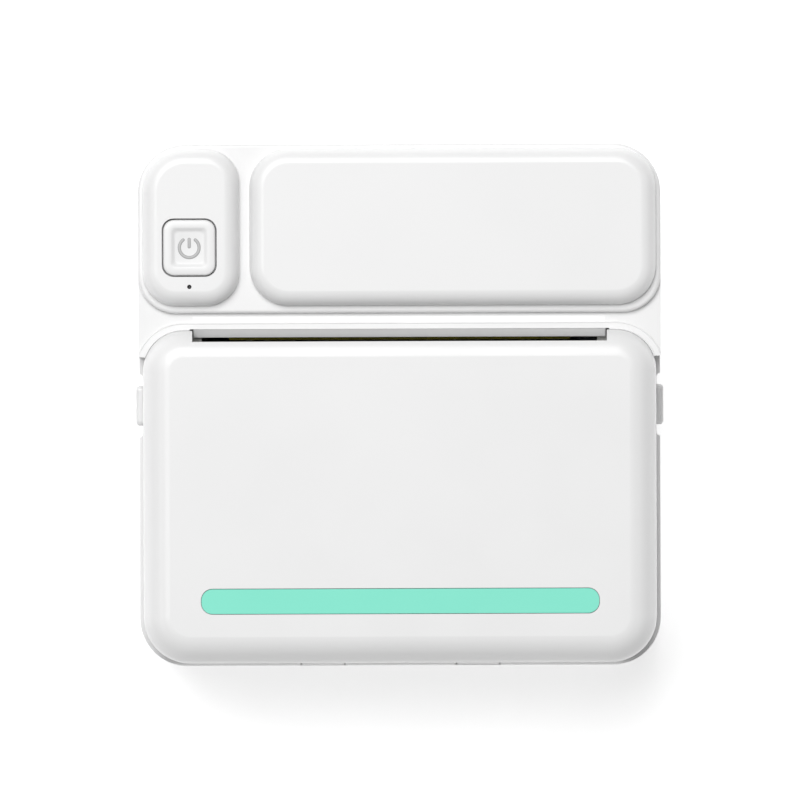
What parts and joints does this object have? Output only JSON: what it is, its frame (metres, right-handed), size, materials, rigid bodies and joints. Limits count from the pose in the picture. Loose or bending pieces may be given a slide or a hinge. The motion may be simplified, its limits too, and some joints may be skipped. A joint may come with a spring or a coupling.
{
  "type": "portable label printer",
  "caption": "Palm-sized battery label printer with a hinged paper cover, side release buttons, dished power key and geared platen roller.",
  "frame": {"origin": "middle of the footprint, on the table, under the feet", "axes": "+X to the right and +Y towards the pods as seen from the front, +Z out of the front face; it lies on its back"},
  "size_m": [0.0838, 0.0826, 0.042],
  "materials": {
    "white_shell": "moulded, glossy white",
    "white_key": "moulded, glossy white, dished top",
    "mint_strip": "moulded, satin mint green",
    "grey_liner": "moulded, fine matt grain",
    "black_frame": "glass-filled, moulded, matt black",
    "acetal": "moulded acetal, satin",
    "spring_steel": "bright drawn wire",
    "ground_steel": "ground shaft",
    "plate_steel": "pressed zinc-plated sheet",
    "screw_steel": "zinc-plated screws",
    "brass_pinion": "hobbed brass",
    "motor_can": "drawn steel can",
    "roller_rubber": "ground silicone rubber",
    "foot_rubber": "moulded rubber",
    "head_ceramic": "glazed print strip",
    "heatsink_aluminium": "extruded aluminium",
    "board_green": "soldermasked glass-epoxy board",
    "chip_black": "moulded chip packages",
    "switch_black": "moulded switch body",
    "lamp_white": "lamp package",
    "clear_pipe": "clear acrylic rod",
    "cell_foil": "foil pouch",
    "tape": "adhesive pad",
    "flex_amber": "polyimide flat cable"
  },
  "bodies": {
    "base": {"rear_case": "white_shell", "front_case": "white_shell", "inner_frame": "black_frame", "hinge_pins": "ground_steel", "gear_axle": "ground_steel", "stepper_motor": "motor_can", "gear_plate": "plate_steel", "frame_screws": "screw_steel", "print_strip": "head_ceramic", "head_heatsink": "heatsink_aluminium", "head_bracket": "plate_steel", "left_head_spring": "spring_steel", "right_head_spring": "spring_steel", "tear_bar": "plate_steel", "left_button_spring": "spring_steel", "right_button_spring": "spring_steel", "key_switch": "switch_black", "key_board": "board_green", "indicator_lamp": "lamp_white", "light_pipe": "clear_pipe", "main_board": "board_green", "board_parts": "chip_black", "board_screws": "screw_steel", "usb_socket": "plate_steel", "battery_tape_pad": "tape", "battery": "cell_foil", "head_cable": "flex_amber", "paper_sensor": "switch_black", "case_screws": "screw_steel", "rubber_feet": "foot_rubber"},
    "cover": {"paper_cover": "white_shell", "accent_strip": "mint_strip", "cover_liner": "grey_liner", "liner_screws": "screw_steel", "platen_bushes": "acetal"},
    "platen": {"platen_shaft": "ground_steel", "platen_rubber": "roller_rubber", "platen_gear": "acetal"},
    "reduction": {"reduction_gear": "acetal"},
    "motor_rotor": {"motor_shaft": "ground_steel", "motor_pinion": "brass_pinion"},
    "key": {"power_key": "white_key", "switch_plunger": "switch_black"},
    "left_button": {"left_release_button": "white_key"},
    "right_button": {"right_release_button": "white_key"}
  },
  "joints": [
    {"name": "cover_hinge", "type": "hinge", "parent": "base", "child": "cover", "pos_m": [0, -0.03935, 0.018], "axis": [1, 0, 0], "range_deg": [0, 90]},
    {"name": "platen_spin", "type": "hinge", "parent": "cover", "child": "platen", "pos_m": [0, 0.0061, 0.0335], "axis": [1, 0, 0], "continuous": true},
    {"name": "reduction_spin", "type": "hinge", "parent": "base", "child": "reduction", "pos_m": [0, 0.00868, 0.02593], "axis": [1, 0, 0], "continuous": true},
    {"name": "motor_spin", "type": "hinge", "parent": "base", "child": "motor_rotor", "pos_m": [0, 0.0119, 0.01731], "axis": [1, 0, 0], "continuous": true},
    {"name": "power_key_press", "type": "slide", "parent": "base", "child": "key", "axis": [0, 0, -1], "range_m": [0, 0.0005], "stiffness_N_per_m": 600, "springref_m": -0.0005},
    {"name": "left_button_press", "type": "slide", "parent": "base", "child": "left_button", "axis": [1, 0, 0], "range_m": [0, 0.001], "stiffness_N_per_m": 500, "springref_m": -0.0005, "deforming": ["left_button_spring"]},
    {"name": "right_button_press", "type": "slide", "parent": "base", "child": "right_button", "axis": [-1, 0, 0], "range_m": [0, 0.001], "stiffness_N_per_m": 500, "springref_m": -0.0005, "deforming": ["right_button_spring"]}
  ],
  "couplings": [
    {"joint": "reduction_spin", "follows": "platen_spin", "ratio": -1.2857},
    {"joint": "motor_spin", "follows": "platen_spin", "ratio": 3.6429}
  ]
}
